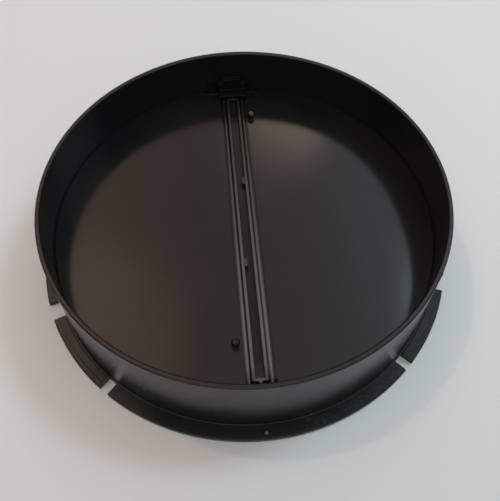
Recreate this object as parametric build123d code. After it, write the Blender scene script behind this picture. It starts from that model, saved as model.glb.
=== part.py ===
from build123d import *
import os
from math import hypot

# A round duct collar that stands on its flange, with two half-round flaps that air lifts from below.
# Sizes are in millimetres and angles in degrees. The crossbar lies along Y, and Z = 0 is the underside.

# Spigot wall
spigot_diameter = 149.0
spigot_wall = 1.8
total_height = 37.0
rim_chamfer = 0.4

# Base flange
flange_diameter = 160.0
flange_thickness = 2.2
flange_fillet = 0.4
flange_chamfer = 0.4

# Lock tabs cut out of the flange, with angles measured from the line of the crossbar
tab_near_angle = 45.0
tab_far_angle = 69.0
near_slit_angle = 3.0
far_slit_angle = 5.6
slit_wall_gap = 0.6
ramp_rise = 1.2
ramp_wall_gap = 1.0
ramp_edge_gap = 1.9

# Index pip on the flange
pip_diameter = 2.0
pip_height = 0.8
pip_chamfer = 0.5
pip_edge_distance = 2.1
pip_angle = 0.8

# Flap plates and the ledge that they close on
flap_depth = 19.7
flap_thickness = 1.6
flap_edge_gap = 0.45
flap_seat_gap = 0.25
ledge_width = 3.2
ledge_thickness = 1.6

# Crossbar: an open channel on a wider foot
channel_width = 3.2
channel_wall = 1.25
channel_depth = 2.4
bar_rise = 1.6
rail_chamfer = 0.2
foot_width = 13.0

# Open frame at each end of the channel, next to the bearing block
frame_wall = 0.9
frame_slot = 1.3
frame_post = 1.1

# Snap pads inside the channel
pad_length = 3.3
pad_width = 1.1
pad_drop = 0.3
pad_place = 19.2

# Bearing blocks and the bosses above them on the wall
block_length = 6.1
block_width = 11.8
shoulder_rise = 3.0
boss_width = 7.7
boss_depth = 1.7
boss_height = 24.4

# Hinges
bead_diameter = 1.8
bead_gap = 0.15
bead_sink = 0.3
bead_end_gap = 0.3
groove_width = 0.5
groove_depth = 0.5
pin_diameter = 1.4
pin_length = 3.3
pin_clearance = 0.05
pin_end_gap = 0.3
swing_gap = 0.4

# Stop nub and relief hole on each flap, with distances measured from the end of the bead
nub_diameter = 3.0
nub_height = 2.9
nub_chamfer = 0.5
nub_reach = 3.35
right_nub_end_distance = 11.5
left_nub_end_distance = 15.1
relief_diameter = 1.1
relief_end_distance = 1.5

# Radii
wall_outer = spigot_diameter / 2
wall_inner = wall_outer - spigot_wall
wall_middle = wall_outer - spigot_wall / 2
flange_radius = flange_diameter / 2
ledge_inner = wall_inner - ledge_width
flap_radius = wall_inner - flap_edge_gap

# Heights
flap_top = total_height - flap_depth
flap_bottom = flap_top - flap_thickness
ledge_top = flap_bottom - flap_seat_gap
ledge_bottom = ledge_top - ledge_thickness
bar_top = flap_top + bar_rise
shoulder_top = bar_top + shoulder_rise
channel_floor = bar_top - channel_depth
axis_height = flap_top - bead_sink

# Places across the crossbar
channel_half = channel_width / 2
bar_half = channel_half + channel_wall
block_half = block_width / 2
bead_radius = bead_diameter / 2
axis_offset = bar_half + bead_gap + bead_radius
groove_end = axis_offset + bead_radius + groove_width
corner_reach = hypot(block_half - axis_offset, shoulder_top - axis_height) + swing_gap

# Places along the crossbar
block_start = wall_inner - block_length
frame_end = block_start - frame_slot
frame_start = frame_end - frame_wall
bead_half = block_start - bead_end_gap

# Cylinders and pegs stand on their lower end
upright = (Align.CENTER, Align.CENTER, Align.MIN)


def box(x_low, x_high, y_low, y_high, z_low, z_high):
    """A block between two corners."""
    size = (x_high - x_low, y_high - y_low, z_high - z_low)
    middle = ((x_low + x_high) / 2, (y_low + y_high) / 2, (z_low + z_high) / 2)
    return Pos(*middle) * Box(*size)


def ring_part(r_low, r_high, z_low, z_high, start_angle, arc):
    """A piece of a ring with radial ends, counted anticlockwise from the start angle."""
    section = Pos((r_low + r_high) / 2, (z_low + z_high) / 2) * Rectangle(r_high - r_low, z_high - z_low)
    return Rot(0, 0, start_angle) * revolve(Plane.XZ * section, Axis.Z, arc)


def both_ends(shape):
    """The shape and its copy turned half a turn about Z."""
    return shape + Rot(0, 0, 180) * shape


def four_ways(shape):
    """The shape with its mirror image in YZ, and both turned half a turn about Z."""
    return both_ends(shape + mirror(shape, Plane.YZ))


def shell():
    """The wall, flange and ledge, turned from one outline."""
    outline = make_face(
        Polyline(
            (wall_inner, 0),
            (flange_radius, 0),
            (flange_radius, flange_thickness - flange_chamfer),
            (flange_radius - flange_chamfer, flange_thickness),
            (wall_outer, flange_thickness),
            (wall_outer, total_height - rim_chamfer),
            (wall_outer - rim_chamfer, total_height),
            (wall_inner + rim_chamfer, total_height),
            (wall_inner, total_height - rim_chamfer),
            (wall_inner, ledge_top),
            (ledge_inner, ledge_top),
            (ledge_inner, ledge_bottom),
            (wall_inner, ledge_bottom - ledge_width),
            close=True,
        )
    )
    crease = outline.vertices().sort_by_distance(Vector(wall_outer, flange_thickness))[0]
    return revolve(Plane.XZ * fillet(crease, flange_fillet), Axis.Z, 360)


def slits():
    """Cutters for the slits at both ends of each tab."""
    cut_height = flange_thickness + 2 * ramp_rise
    span = (wall_outer + slit_wall_gap, flange_radius + flange_thickness, -flange_thickness, cut_height)
    near = ring_part(*span, tab_near_angle - near_slit_angle - 90, near_slit_angle)
    far = ring_part(*span, tab_far_angle - 90, far_slit_angle)
    return four_ways(near + far)


def ramps():
    """A wedge on each tab, highest at its end towards the crossbar and running on into both slits."""
    arc = tab_far_angle - tab_near_angle
    low = wall_outer + ramp_wall_gap
    high = flange_radius - ramp_edge_gap
    overrun = near_slit_angle / 2
    crest = flange_thickness + ramp_rise
    block = ring_part(low, high, flange_thickness / 2, crest + ramp_rise, -overrun, arc + 2 * overrun)
    high_end = Vector(high, 0, crest)
    low_end = Vector(high, 0, flange_thickness).rotate(Axis.Z, arc)
    across = Vector(1, 0, 0).rotate(Axis.Z, arc / 2)
    slope = Plane(origin=high_end, x_dir=across, z_dir=across.cross(low_end - high_end))
    wedge = split(block, bisect_by=slope, keep=Keep.BOTTOM)
    return four_ways(Rot(0, 0, tab_near_angle - 90) * wedge)


def peg(diameter, height, root, top_chamfer):
    """An upright round peg on Z = 0, sunk by its root into what carries it."""
    body = Pos(0, 0, -root) * Cylinder(diameter / 2, height + root, align=upright)
    return chamfer(body.edges().group_by(Axis.Z)[-1], top_chamfer)


def pip():
    """A low round pip on the flange, close to the line of the crossbar."""
    place = Pos(flange_radius - pip_edge_distance, 0, flange_thickness)
    body = peg(pip_diameter, pip_height, flange_thickness / 2, pip_chamfer)
    return Rot(0, 0, pip_angle - 90) * place * body


def along_bar(half, top_half, z_low, reach):
    """A bar along Y up to the top of the rails, with its top edges moved in or out by their chamfer."""
    chamfer_start = bar_top - abs(half - top_half)
    section = make_face(
        Polyline(
            (-half, z_low),
            (half, z_low),
            (half, chamfer_start),
            (top_half, bar_top),
            (-top_half, bar_top),
            (-half, chamfer_start),
            close=True,
        )
    )
    return extrude(Plane.XZ * section, reach, both=True)


def crossbar():
    """The channel with its foot, end frames and snap pads."""
    reach = block_start + spigot_wall
    foot_half = foot_width / 2
    bar = along_bar(bar_half, bar_half - rail_chamfer, ledge_bottom, reach)
    bar += box(-foot_half, foot_half, -wall_middle, wall_middle, ledge_bottom, ledge_top)
    bar -= along_bar(channel_half, channel_half + rail_chamfer, channel_floor, frame_start)
    slot = box(frame_post / 2, bar_half, frame_end, block_start, channel_floor, bar_top)
    bar -= four_ways(slot)
    pad_start = pad_place - pad_length / 2
    pad_end = pad_place + pad_length / 2
    pad_top = bar_top - pad_drop
    pad = box(channel_half - pad_width, channel_half, pad_start, pad_end, channel_floor, pad_top)
    return bar + both_ends(pad)


def bearings():
    """The blocks that hold the flap pins, with a boss up the wall and seats for the flap corners."""
    boss_half = boss_width / 2
    boss_start = wall_inner - boss_depth
    block = box(-block_half, block_half, block_start, wall_middle, ledge_bottom, bar_top)
    block += box(-block_half, block_half, boss_start, wall_middle, ledge_bottom, shoulder_top)
    boss = box(-boss_half, boss_half, boss_start, wall_middle, ledge_bottom, boss_height)
    seat_half = axis_offset + corner_reach + ledge_width
    seat = box(-seat_half, seat_half, block_start - ledge_width, wall_middle, ledge_bottom, ledge_top)
    return both_ends(block + boss + seat)


def pin_holes():
    """Cutters for the blind holes that the flap pins turn in."""
    depth = pin_length - bead_end_gap + pin_end_gap
    hole = Cylinder(pin_diameter / 2 + pin_clearance, depth, align=upright)
    return four_ways(Pos(axis_offset, block_start, axis_height) * Rot(-90, 0, 0) * hole)


def collar():
    """The whole moulding that stays still."""
    inside = Cylinder(wall_middle, total_height, align=upright)
    body = shell() + (crossbar() & inside)
    body += bearings() & inside
    body -= pin_holes()
    body += ramps()
    body += pip()
    return body - slits()


def flap(nub_end_distance):
    """The flap on the +X side, closed, with its hinge bead, pins and stop nub."""
    half_plane = Rectangle(flap_radius, 2 * flap_radius, align=(Align.MIN, Align.CENTER))
    half_disc = Circle(flap_radius) & Pos(axis_offset, 0) * half_plane
    corner = Pos(axis_offset, bead_half) * Rectangle(corner_reach, flap_radius, align=(Align.MIN, Align.MIN))
    outline = half_disc - corner - mirror(corner, Plane.XZ)
    plate = Pos(0, 0, flap_bottom) * extrude(outline, flap_thickness)
    plate -= box(axis_offset, groove_end, -bead_half, bead_half, flap_top - groove_depth, flap_top)
    bead = Rot(90, 0, 0) * Cylinder(bead_radius, 2 * bead_half)
    pins = Rot(90, 0, 0) * Cylinder(pin_diameter / 2, 2 * (bead_half + pin_length))
    body = plate + Pos(axis_offset, 0, axis_height) * (bead + pins)
    nub = peg(nub_diameter, nub_height, flap_thickness / 2, nub_chamfer)
    body += Pos(axis_offset + nub_reach, bead_half - nub_end_distance, flap_top) * nub
    relief = Cylinder(relief_diameter / 2, 4 * flap_thickness)
    return body - Pos(groove_end, relief_end_distance - bead_half, flap_top) * relief


def main():
    nodes = {
        "collar": collar(),
        "right_flap": flap(right_nub_end_distance),
        "left_flap": Rot(0, 0, 180) * flap(left_nub_end_distance),
    }
    os.makedirs("parts", exist_ok=True)
    for name, shape in nodes.items():
        export_step(shape, f"parts/{name}.step")


main()
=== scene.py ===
from math import cos, pi, radians, sin, tan

import bpy
from mathutils import Matrix, Vector


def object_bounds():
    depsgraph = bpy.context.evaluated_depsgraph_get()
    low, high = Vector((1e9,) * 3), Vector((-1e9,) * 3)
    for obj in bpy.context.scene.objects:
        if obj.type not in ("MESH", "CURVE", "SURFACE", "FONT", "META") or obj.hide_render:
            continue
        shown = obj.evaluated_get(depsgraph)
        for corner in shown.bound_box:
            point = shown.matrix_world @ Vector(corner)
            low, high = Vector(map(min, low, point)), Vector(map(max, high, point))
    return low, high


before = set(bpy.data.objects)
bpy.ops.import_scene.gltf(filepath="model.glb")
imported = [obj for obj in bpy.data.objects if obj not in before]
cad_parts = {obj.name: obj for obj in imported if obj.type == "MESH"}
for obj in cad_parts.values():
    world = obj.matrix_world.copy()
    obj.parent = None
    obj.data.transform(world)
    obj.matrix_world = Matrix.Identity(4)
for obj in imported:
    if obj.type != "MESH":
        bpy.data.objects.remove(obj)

solid_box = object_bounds()

# The scene is in metres and angles are in degrees
MM = 0.001

# Camera: the photo's frame is 500 pixels wide, and the camera looks at the centre of the rim
IMAGE_WIDTH = 500
SENSOR_WIDTH = 36.0
FOCAL_PIXELS = 619.7
CAMERA_DISTANCE = 224.4 * MM
CAMERA_ELEVATION = 52.08
CAMERA_AZIMUTH = -4.15
CAMERA_PAN = -0.470
CAMERA_TILT = -5.583
CAMERA_ROLL = -0.566
CLIP_START = 10.0 * MM
RIM_HEIGHT = solid_box[1][2]

# Floor: painted shade, a little darker and warmer in front of the part than behind it
FLOOR_SIZE = 40.0
FLOOR_FRONT = -0.15
FLOOR_BACK = 0.03
FLOOR_SHADE_COLOURS = ((0.70, 0.675, 0.65), (0.795, 0.785, 0.765))
FLOOR_ROUGHNESS = 0.6

# Room light: brightest high up behind the camera, with colours by the cosine of the angle from there
ROOM_AZIMUTH = 180.0
ROOM_ELEVATION = 65.0
ROOM_COLOURS = (
    (0.30, (0.05, 0.05, 0.05)),
    (0.70, (0.50, 0.50, 0.50)),
    (1.00, (1.00, 1.00, 1.00)),
)

# What the camera sees above the floor: colours by height, from the tone of the far floor upwards
BACKDROP_COLOURS = (
    (0.00, (0.392, 0.366, 0.352)),
    (0.22, (0.60, 0.61, 0.61)),
)

# Ceiling patch behind the part: full up to one radius and gone at the other, warm left and cool right
CEILING_AZIMUTH = 0.0
CEILING_ELEVATION = 57.0
CEILING_RADII = (24.0, 40.0)
CEILING_COLOURS = (
    (-0.40, (0.66, 0.58, 0.57)),
    (-0.26, (1.05, 0.72, 0.56)),
    (-0.15, (0.82, 0.57, 0.47)),
    (0.00, (0.60, 0.47, 0.41)),
    (0.12, (0.66, 0.60, 0.57)),
    (0.26, (0.78, 0.82, 0.88)),
)

# Lamps: azimuth from +Y towards +X, elevation, angular radius, radiance, colour and whether gloss shows it
LAMP_DISTANCE = 1.2
LAMPS = {
    "left_lamp": (-52.0, 66.3, 1.3, 195.0, (1.0, 0.735, 0.57), False),
    "left_glow": (-38.0, 62.0, 11.0, 0.6, (1.0, 0.68, 0.45), True),
    "back_lamp": (11.0, 44.0, 4.5, 2.2, (1.0, 0.72, 0.58), True),
    "window": (66.0, 57.0, 6.0, 19.0, (0.42, 0.77, 1.0), False),
    "window_glow": (68.0, 50.0, 13.0, 2.0, (0.82, 0.95, 1.0), True),
}

# Black plastic: tones and roughness, each from a low to a high value
COLLAR_TONES = ((0.004, 0.004, 0.0045), (0.008, 0.008, 0.009))
COLLAR_ROUGHNESS = (0.25, 0.33)
FLAP_TONES = ((0.004, 0.004, 0.004), (0.007, 0.007, 0.007))
FLAP_ROUGHNESS = (0.14, 0.20)
PLASTIC_IOR = 1.5
SPECULAR_LEVEL = 0.5

# Surface: rounded edges, fine moulded grain, and clouds of slightly duller plastic
EDGE_RADIUS = 0.35 * MM
GRAIN_SCALE = 2200.0
GRAIN_DETAIL = 2.0
GRAIN_HEIGHT = 0.002 * MM
CLOUD_SCALE = 45.0
CLOUD_DETAIL = 4.0
CLOUD_RANGE = (0.3, 0.7)

# Each flap droops a little towards its rim: where the bow starts and ends, how it grows, and its drop there
BOW_START = 30.0 * MM
BOW_END = 72.0 * MM
BOW_POWER = 3.0
FLAP_DROP = {"right_flap": 3.0 * MM, "left_flap": 0.7 * MM}

# The tone that each flap takes on towards its rim: paler on the right one, a little darker on the left one
FLAP_EDGE_COLOURS = {"right_flap": (0.013, 0.0118, 0.012), "left_flap": (0.003, 0.003, 0.0035)}

# Masks: where the soft edge starts, as a share of a block's half size and of a speck's or ring's radius
BLOCK_CORE = 0.9
MARK_CORE = 0.5

# Blocks of the collar that shine less: centre and half the size in millimetres, and the loss of shine
DULL_BLOCKS = {
    "channel": ((0, 0, 16.5), (1.6, 64.0, 0.8), 0.2),
    "flange": ((22.0, 0, 1.8), (65.0, 85.0, 2.0), 0.2),
    "back_block": ((0, 69.7, 18.0), (6.4, 3.6, 7.0), 0.25),
}

# Painted highlight on the raised lines along the crossbar and in the grooves beside them, weaker at the
# back: centre, half the size, strength
RIDGE_HIGHLIGHT_FADE = ((-45.0 * MM, 55.0 * MM), (1.0, 0.05))
RIDGE_HIGHLIGHT_COLOUR = (0.11, 0.104, 0.098)
RIDGE_HIGHLIGHT_BLOCKS = {
    "collar": {
        "right_rail": ((2.35, 0, 18.0), (0.7, 66.5, 1.3), 1.0),
        "left_rail": ((-2.35, 0, 18.0), (0.7, 66.5, 1.3), 1.0),
        "front_frame": ((0, -64.9, 18.9), (1.9, 0.9, 0.45), 0.8),
        "back_pad": ((1.05, 19.2, 18.6), (0.7, 1.8, 0.2), 0.5),
        "front_pad": ((-1.05, -19.2, 18.6), (0.7, 1.8, 0.2), 0.4),
    },
    "right_flap": {"bead": ((3.9, 0, 17.4), (1.0, 66.5, 1.1), 1.0)},
    "left_flap": {"bead": ((-3.9, 0, 17.4), (1.0, 66.5, 1.1), 1.0)},
}

# Pale spots on the collar, one on the wall and a painted glint on the top of the pip: place and radius in
# millimetres
SPECK_AND_GLINT_COLOUR = (0.16, 0.15, 0.15)
SPECKS_AND_GLINTS = {
    "wall": ((18.7, -72.1, 15.9), 0.5),
    "pip": ((1.1, -77.9, 3.0), 0.9),
}

# Dust in the grain of the flange's right side: its block, scale, detail, share of the noise and colour
DUST_BLOCK = ((55.0, 0, 2.0), (45.0, 90.0, 2.2))
DUST_SCALE = 1100.0
DUST_DETAIL = 6.0
DUST_RANGE = (0.5, 0.75)
DUST_COLOUR = (0.03, 0.029, 0.03)

# Painted light in the gap round the flaps, paler than the plastic so that the deep gap is less dark: blocks
# that hold it, radius and half width of its ring, and colour
GAP_LIGHT_BLOCKS = {
    "right": ((46.0, 0, 16.2), (35.0, 80.0, 1.2), 1.0),
    "left": ((-46.0, 0, 16.2), (35.0, 80.0, 1.2), 1.0),
}
GAP_RADIUS = 72.7 * MM
GAP_HALF_WIDTH = 0.9 * MM
GAP_LIGHT_COLOUR = (0.032, 0.031, 0.034)


def metres(millimetres):
    """A place or size on the part in the units of the scene."""
    return tuple(length * MM for length in millimetres)


def new_material(name):
    """A material with its shader and output, and the node tree that they stand in."""
    material = bpy.data.materials.new(name)
    material.use_nodes = True
    tree = material.node_tree
    tree.nodes.clear()
    output = tree.nodes.new("ShaderNodeOutputMaterial")
    shader = tree.nodes.new("ShaderNodeBsdfPrincipled")
    tree.links.new(shader.outputs["BSDF"], output.inputs["Surface"])
    return material, tree, shader


def remap(tree, source, from_range, to_range, curve="LINEAR"):
    """A value moved from one range to another and held at both ends."""
    node = tree.nodes.new("ShaderNodeMapRange")
    node.interpolation_type = curve
    node.inputs["From Min"].default_value, node.inputs["From Max"].default_value = from_range
    node.inputs["To Min"].default_value, node.inputs["To Max"].default_value = to_range
    tree.links.new(source, node.inputs["Value"])
    return node.outputs["Result"]


def noise(tree, place, scale, detail):
    """Noise between 0 and 1."""
    node = tree.nodes.new("ShaderNodeTexNoise")
    node.inputs["Scale"].default_value = scale
    node.inputs["Detail"].default_value = detail
    tree.links.new(place, node.inputs["Vector"])
    return node.outputs["Fac"]


def blend(tree, factor, low, high):
    """A colour between two colours, each of them fixed or an output."""
    node = tree.nodes.new("ShaderNodeMix")
    node.data_type = "RGBA"
    tree.links.new(factor, node.inputs["Factor"])
    for socket, colour in ((node.inputs["A"], low), (node.inputs["B"], high)):
        if isinstance(colour, tuple):
            socket.default_value = (*colour, 1)
        else:
            tree.links.new(colour, socket)
    return node.outputs["Result"]


def ramp(tree, source, stops):
    """A colour that follows a value through a row of stops."""
    node = tree.nodes.new("ShaderNodeValToRGB")
    low = stops[0][0]
    high = stops[-1][0]
    tree.links.new(remap(tree, source, (low, high), (0.0, 1.0)), node.inputs["Fac"])
    elements = node.color_ramp.elements
    for value, _ in stops[1:-1]:
        elements.new((value - low) / (high - low))
    for element, (_, colour) in zip(elements, stops):
        element.color = (*colour, 1)
    return node.outputs["Color"]


def calculate(tree, operation, first, second=None):
    """One step of arithmetic on outputs, or on an output and a fixed number."""
    node = tree.nodes.new("ShaderNodeMath")
    node.operation = operation
    tree.links.new(first, node.inputs[0])
    if isinstance(second, float):
        node.inputs[1].default_value = second
    elif second is not None:
        tree.links.new(second, node.inputs[1])
    return node.outputs["Value"]


def calculate_vector(tree, operation, vector, fixed=None):
    """The outputs of one step of arithmetic on a vector, with a fixed vector where the step needs it."""
    node = tree.nodes.new("ShaderNodeVectorMath")
    node.operation = operation
    tree.links.new(vector, node.inputs[0])
    if fixed is not None:
        node.inputs[1].default_value = fixed
    return node.outputs


def sides(tree, vector):
    """The X, Y and Z outputs of a vector."""
    node = tree.nodes.new("ShaderNodeSeparateXYZ")
    tree.links.new(vector, node.inputs["Vector"])
    return node.outputs


def bump(tree, height, distance, under):
    """A normal that follows a height map, on top of another normal."""
    node = tree.nodes.new("ShaderNodeBump")
    node.inputs["Distance"].default_value = distance
    tree.links.new(height, node.inputs["Height"])
    tree.links.new(under, node.inputs["Normal"])
    return node.outputs["Normal"]


def paint(tree, shader, mask, colour):
    """Lays a colour over the colour that a shader has, as far as a mask goes."""
    base = shader.inputs["Base Color"]
    tree.links.new(blend(tree, mask, base.links[0].from_socket, colour), base)


def in_block(tree, place, centre, half_size):
    """1 inside a block and 0 outside it, with a soft edge."""
    shift = calculate_vector(tree, "SUBTRACT", place, metres(centre))["Vector"]
    distance = calculate_vector(tree, "ABSOLUTE", shift)["Vector"]
    share = sides(tree, calculate_vector(tree, "DIVIDE", distance, metres(half_size))["Vector"])
    furthest = calculate(tree, "MAXIMUM", calculate(tree, "MAXIMUM", share["X"], share["Y"]), share["Z"])
    return remap(tree, furthest, (BLOCK_CORE, 1.0), (1.0, 0.0))


def in_blocks(tree, place, blocks):
    """The greatest strength among the blocks that hold a place."""
    greatest = None
    for centre, half_size, strength in blocks.values():
        inside = calculate(tree, "MULTIPLY", in_block(tree, place, centre, half_size), strength)
        greatest = calculate(tree, "MAXIMUM", greatest, inside) if greatest else inside
    return greatest


def near_point(tree, place, point, radius):
    """1 at a point, falling to 0 at a radius round it."""
    distance = calculate_vector(tree, "DISTANCE", place, metres(point))["Value"]
    return remap(tree, distance, (MARK_CORE * radius * MM, radius * MM), (1.0, 0.0))


def in_ring(tree, place, radius, half_width):
    """1 on a ring round the Z axis, falling to 0 at half its width from there."""
    flat = calculate_vector(tree, "MULTIPLY", place, (1, 1, 0))["Vector"]
    length = calculate_vector(tree, "LENGTH", flat)["Value"]
    distance = calculate(tree, "ABSOLUTE", calculate(tree, "SUBTRACT", length, radius))
    return remap(tree, distance, (MARK_CORE * half_width, half_width), (1.0, 0.0))


def plastic(node, tones, roughness):
    """Black moulded plastic with a painted highlight on its ridges; returns its nodes for what a single
    piece adds.
    """
    material, tree, shader = new_material(f"{node}_plastic")
    place = tree.nodes.new("ShaderNodeTexCoord").outputs["Object"]
    shader.inputs["IOR"].default_value = PLASTIC_IOR
    shader.inputs["Specular IOR Level"].default_value = SPECULAR_LEVEL
    cloud = noise(tree, place, CLOUD_SCALE, CLOUD_DETAIL)
    tree.links.new(blend(tree, cloud, *tones), shader.inputs["Base Color"])
    tree.links.new(remap(tree, cloud, CLOUD_RANGE, roughness), shader.inputs["Roughness"])
    # Painted highlight: paler colour on the ridges and in the grooves beside them, fading towards the back
    fade = remap(tree, sides(tree, place)["Y"], *RIDGE_HIGHLIGHT_FADE)
    ridge_highlight = calculate(tree, "MULTIPLY", in_blocks(tree, place, RIDGE_HIGHLIGHT_BLOCKS[node]), fade)
    paint(tree, shader, ridge_highlight, RIDGE_HIGHLIGHT_COLOUR)
    edges = tree.nodes.new("ShaderNodeBevel")
    edges.inputs["Radius"].default_value = EDGE_RADIUS
    grain = noise(tree, place, GRAIN_SCALE, GRAIN_DETAIL)
    normal = bump(tree, grain, GRAIN_HEIGHT, edges.outputs["Normal"])
    tree.links.new(normal, shader.inputs["Normal"])
    return material, tree, shader, place


def dress(node, material):
    """Gives a solid its material."""
    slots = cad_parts[node].data.materials
    slots.clear()
    slots.append(material)


def dress_collar():
    """The collar, with duller places, dust on the flange, painted light in the gap, a pale spot on the wall
    and a painted glint on the pip.
    """
    material, tree, shader, place = plastic("collar", COLLAR_TONES, COLLAR_ROUGHNESS)
    loss = in_blocks(tree, place, DULL_BLOCKS)
    level = remap(tree, loss, (0.0, SPECULAR_LEVEL), (SPECULAR_LEVEL, 0.0))
    tree.links.new(level, shader.inputs["Specular IOR Level"])
    dust = remap(tree, noise(tree, place, DUST_SCALE, DUST_DETAIL), DUST_RANGE, (0.0, 1.0))
    dust = calculate(tree, "MULTIPLY", dust, in_block(tree, place, *DUST_BLOCK))
    paint(tree, shader, dust, DUST_COLOUR)
    # Painted light: a paler ring in the gap round the flaps, where shade falls
    ring = in_ring(tree, place, GAP_RADIUS, GAP_HALF_WIDTH)
    gap_light = calculate(tree, "MULTIPLY", ring, in_blocks(tree, place, GAP_LIGHT_BLOCKS))
    paint(tree, shader, gap_light, GAP_LIGHT_COLOUR)
    # A pale spot on the wall and a painted glint on the top of the pip
    for point, radius in SPECKS_AND_GLINTS.values():
        paint(tree, shader, near_point(tree, place, point, radius), SPECK_AND_GLINT_COLOUR)
    dress("collar", material)


def dress_flap(node):
    """A flap, smoother than the collar, that bows down towards its round edge."""
    material, tree, shader, place = plastic(node, FLAP_TONES, FLAP_ROUGHNESS)
    distance = calculate(tree, "ABSOLUTE", sides(tree, place)["X"])
    outward = remap(tree, distance, (BOW_START, BOW_END), (0.0, 1.0))
    paint(tree, shader, outward, FLAP_EDGE_COLOURS[node])
    bow = calculate(tree, "POWER", outward, BOW_POWER)
    normal = shader.inputs["Normal"]
    tree.links.new(bump(tree, bow, -FLAP_DROP[node], normal.links[0].from_socket), normal)
    dress(node, material)


def add_floor():
    """A wide pale floor under the flange, with painted shade that darkens it towards the front."""
    bpy.ops.mesh.primitive_plane_add(size=FLOOR_SIZE, location=(0, 0, 0))
    floor = bpy.context.object
    floor.name = "floor"
    material, tree, shader = new_material("floor_with_painted_shade")
    place = tree.nodes.new("ShaderNodeTexCoord").outputs["Object"]
    # Painted shade: the floor's colour darkens and warms towards the front
    back = remap(tree, sides(tree, place)["Y"], (FLOOR_FRONT, FLOOR_BACK), (0.0, 1.0))
    tree.links.new(blend(tree, back, *FLOOR_SHADE_COLOURS), shader.inputs["Base Color"])
    shader.inputs["Roughness"].default_value = FLOOR_ROUGHNESS
    floor.data.materials.append(material)


def direction(azimuth, elevation):
    """A unit vector, with the azimuth counted from +Y towards +X."""
    flat = cos(radians(elevation))
    return Vector((flat * sin(radians(azimuth)), flat * cos(radians(azimuth)), sin(radians(elevation))))


def nearness(tree, place, azimuth, elevation):
    """The cosine of the angle between a direction of view and a fixed direction."""
    return calculate_vector(tree, "DOT_PRODUCT", place, direction(azimuth, elevation))["Value"]


def add_room():
    """Soft light from above, a tinted ceiling patch that the flaps mirror, and a plain backdrop."""
    world = bpy.data.worlds.new("room")
    world.use_nodes = True
    tree = world.node_tree
    place = tree.nodes.new("ShaderNodeTexCoord").outputs["Generated"]
    view = sides(tree, place)
    room = ramp(tree, nearness(tree, place, ROOM_AZIMUTH, ROOM_ELEVATION), ROOM_COLOURS)
    ceiling = ramp(tree, view["X"], CEILING_COLOURS)
    inner, outer = CEILING_RADII
    patch = nearness(tree, place, CEILING_AZIMUTH, CEILING_ELEVATION)
    share = remap(tree, patch, (cos(radians(outer)), cos(radians(inner))), (0.0, 1.0), "SMOOTHSTEP")
    light = blend(tree, share, room, ceiling)
    backdrop = ramp(tree, view["Z"], BACKDROP_COLOURS)
    seen = tree.nodes.new("ShaderNodeLightPath").outputs["Is Camera Ray"]
    tree.links.new(blend(tree, seen, light, backdrop), tree.nodes["Background"].inputs["Color"])
    bpy.context.scene.world = world


def add_lamps():
    """Round area lamps that face the part."""
    for name, (azimuth, elevation, spread, radiance, colour, in_gloss) in LAMPS.items():
        radius = LAMP_DISTANCE * tan(radians(spread))
        area = pi * radius**2
        data = bpy.data.lights.new(name, "AREA")
        data.shape = "DISK"
        data.size = 2 * radius
        data.energy = radiance * pi * area
        data.color = colour
        lamp = bpy.data.objects.new(name, data)
        bpy.context.scene.collection.objects.link(lamp)
        away = direction(azimuth, elevation)
        lamp.location = LAMP_DISTANCE * away
        lamp.rotation_euler = away.to_track_quat("Z", "Y").to_euler()
        lamp.visible_glossy = in_gloss


def add_camera():
    """The photo's camera: it stands in front of the part, looks down on the rim and leans a little."""
    elevation = radians(CAMERA_ELEVATION)
    data = bpy.data.cameras.new("camera")
    data.sensor_fit = "HORIZONTAL"
    data.sensor_width = SENSOR_WIDTH
    data.lens = FOCAL_PIXELS * SENSOR_WIDTH / IMAGE_WIDTH
    data.clip_start = CLIP_START
    camera = bpy.data.objects.new("camera", data)
    bpy.context.scene.collection.objects.link(camera)
    turn = Matrix.Rotation(radians(CAMERA_AZIMUTH), 4, "Z")
    place = Matrix.Translation((0, -CAMERA_DISTANCE * cos(elevation), CAMERA_DISTANCE * sin(elevation)))
    look = Matrix.Rotation(radians(90) - elevation, 4, "X")
    lean = (
        Matrix.Rotation(radians(CAMERA_PAN), 4, "Y")
        @ Matrix.Rotation(radians(CAMERA_TILT), 4, "X")
        @ Matrix.Rotation(radians(CAMERA_ROLL), 4, "Z")
    )
    camera.matrix_world = Matrix.Translation((0, 0, RIM_HEIGHT)) @ turn @ place @ look @ lean
    bpy.context.scene.camera = camera


dress_collar()
dress_flap("right_flap")
dress_flap("left_flap")
add_floor()
add_room()
add_lamps()
add_camera()
bpy.context.scene.view_settings.view_transform = "Standard"
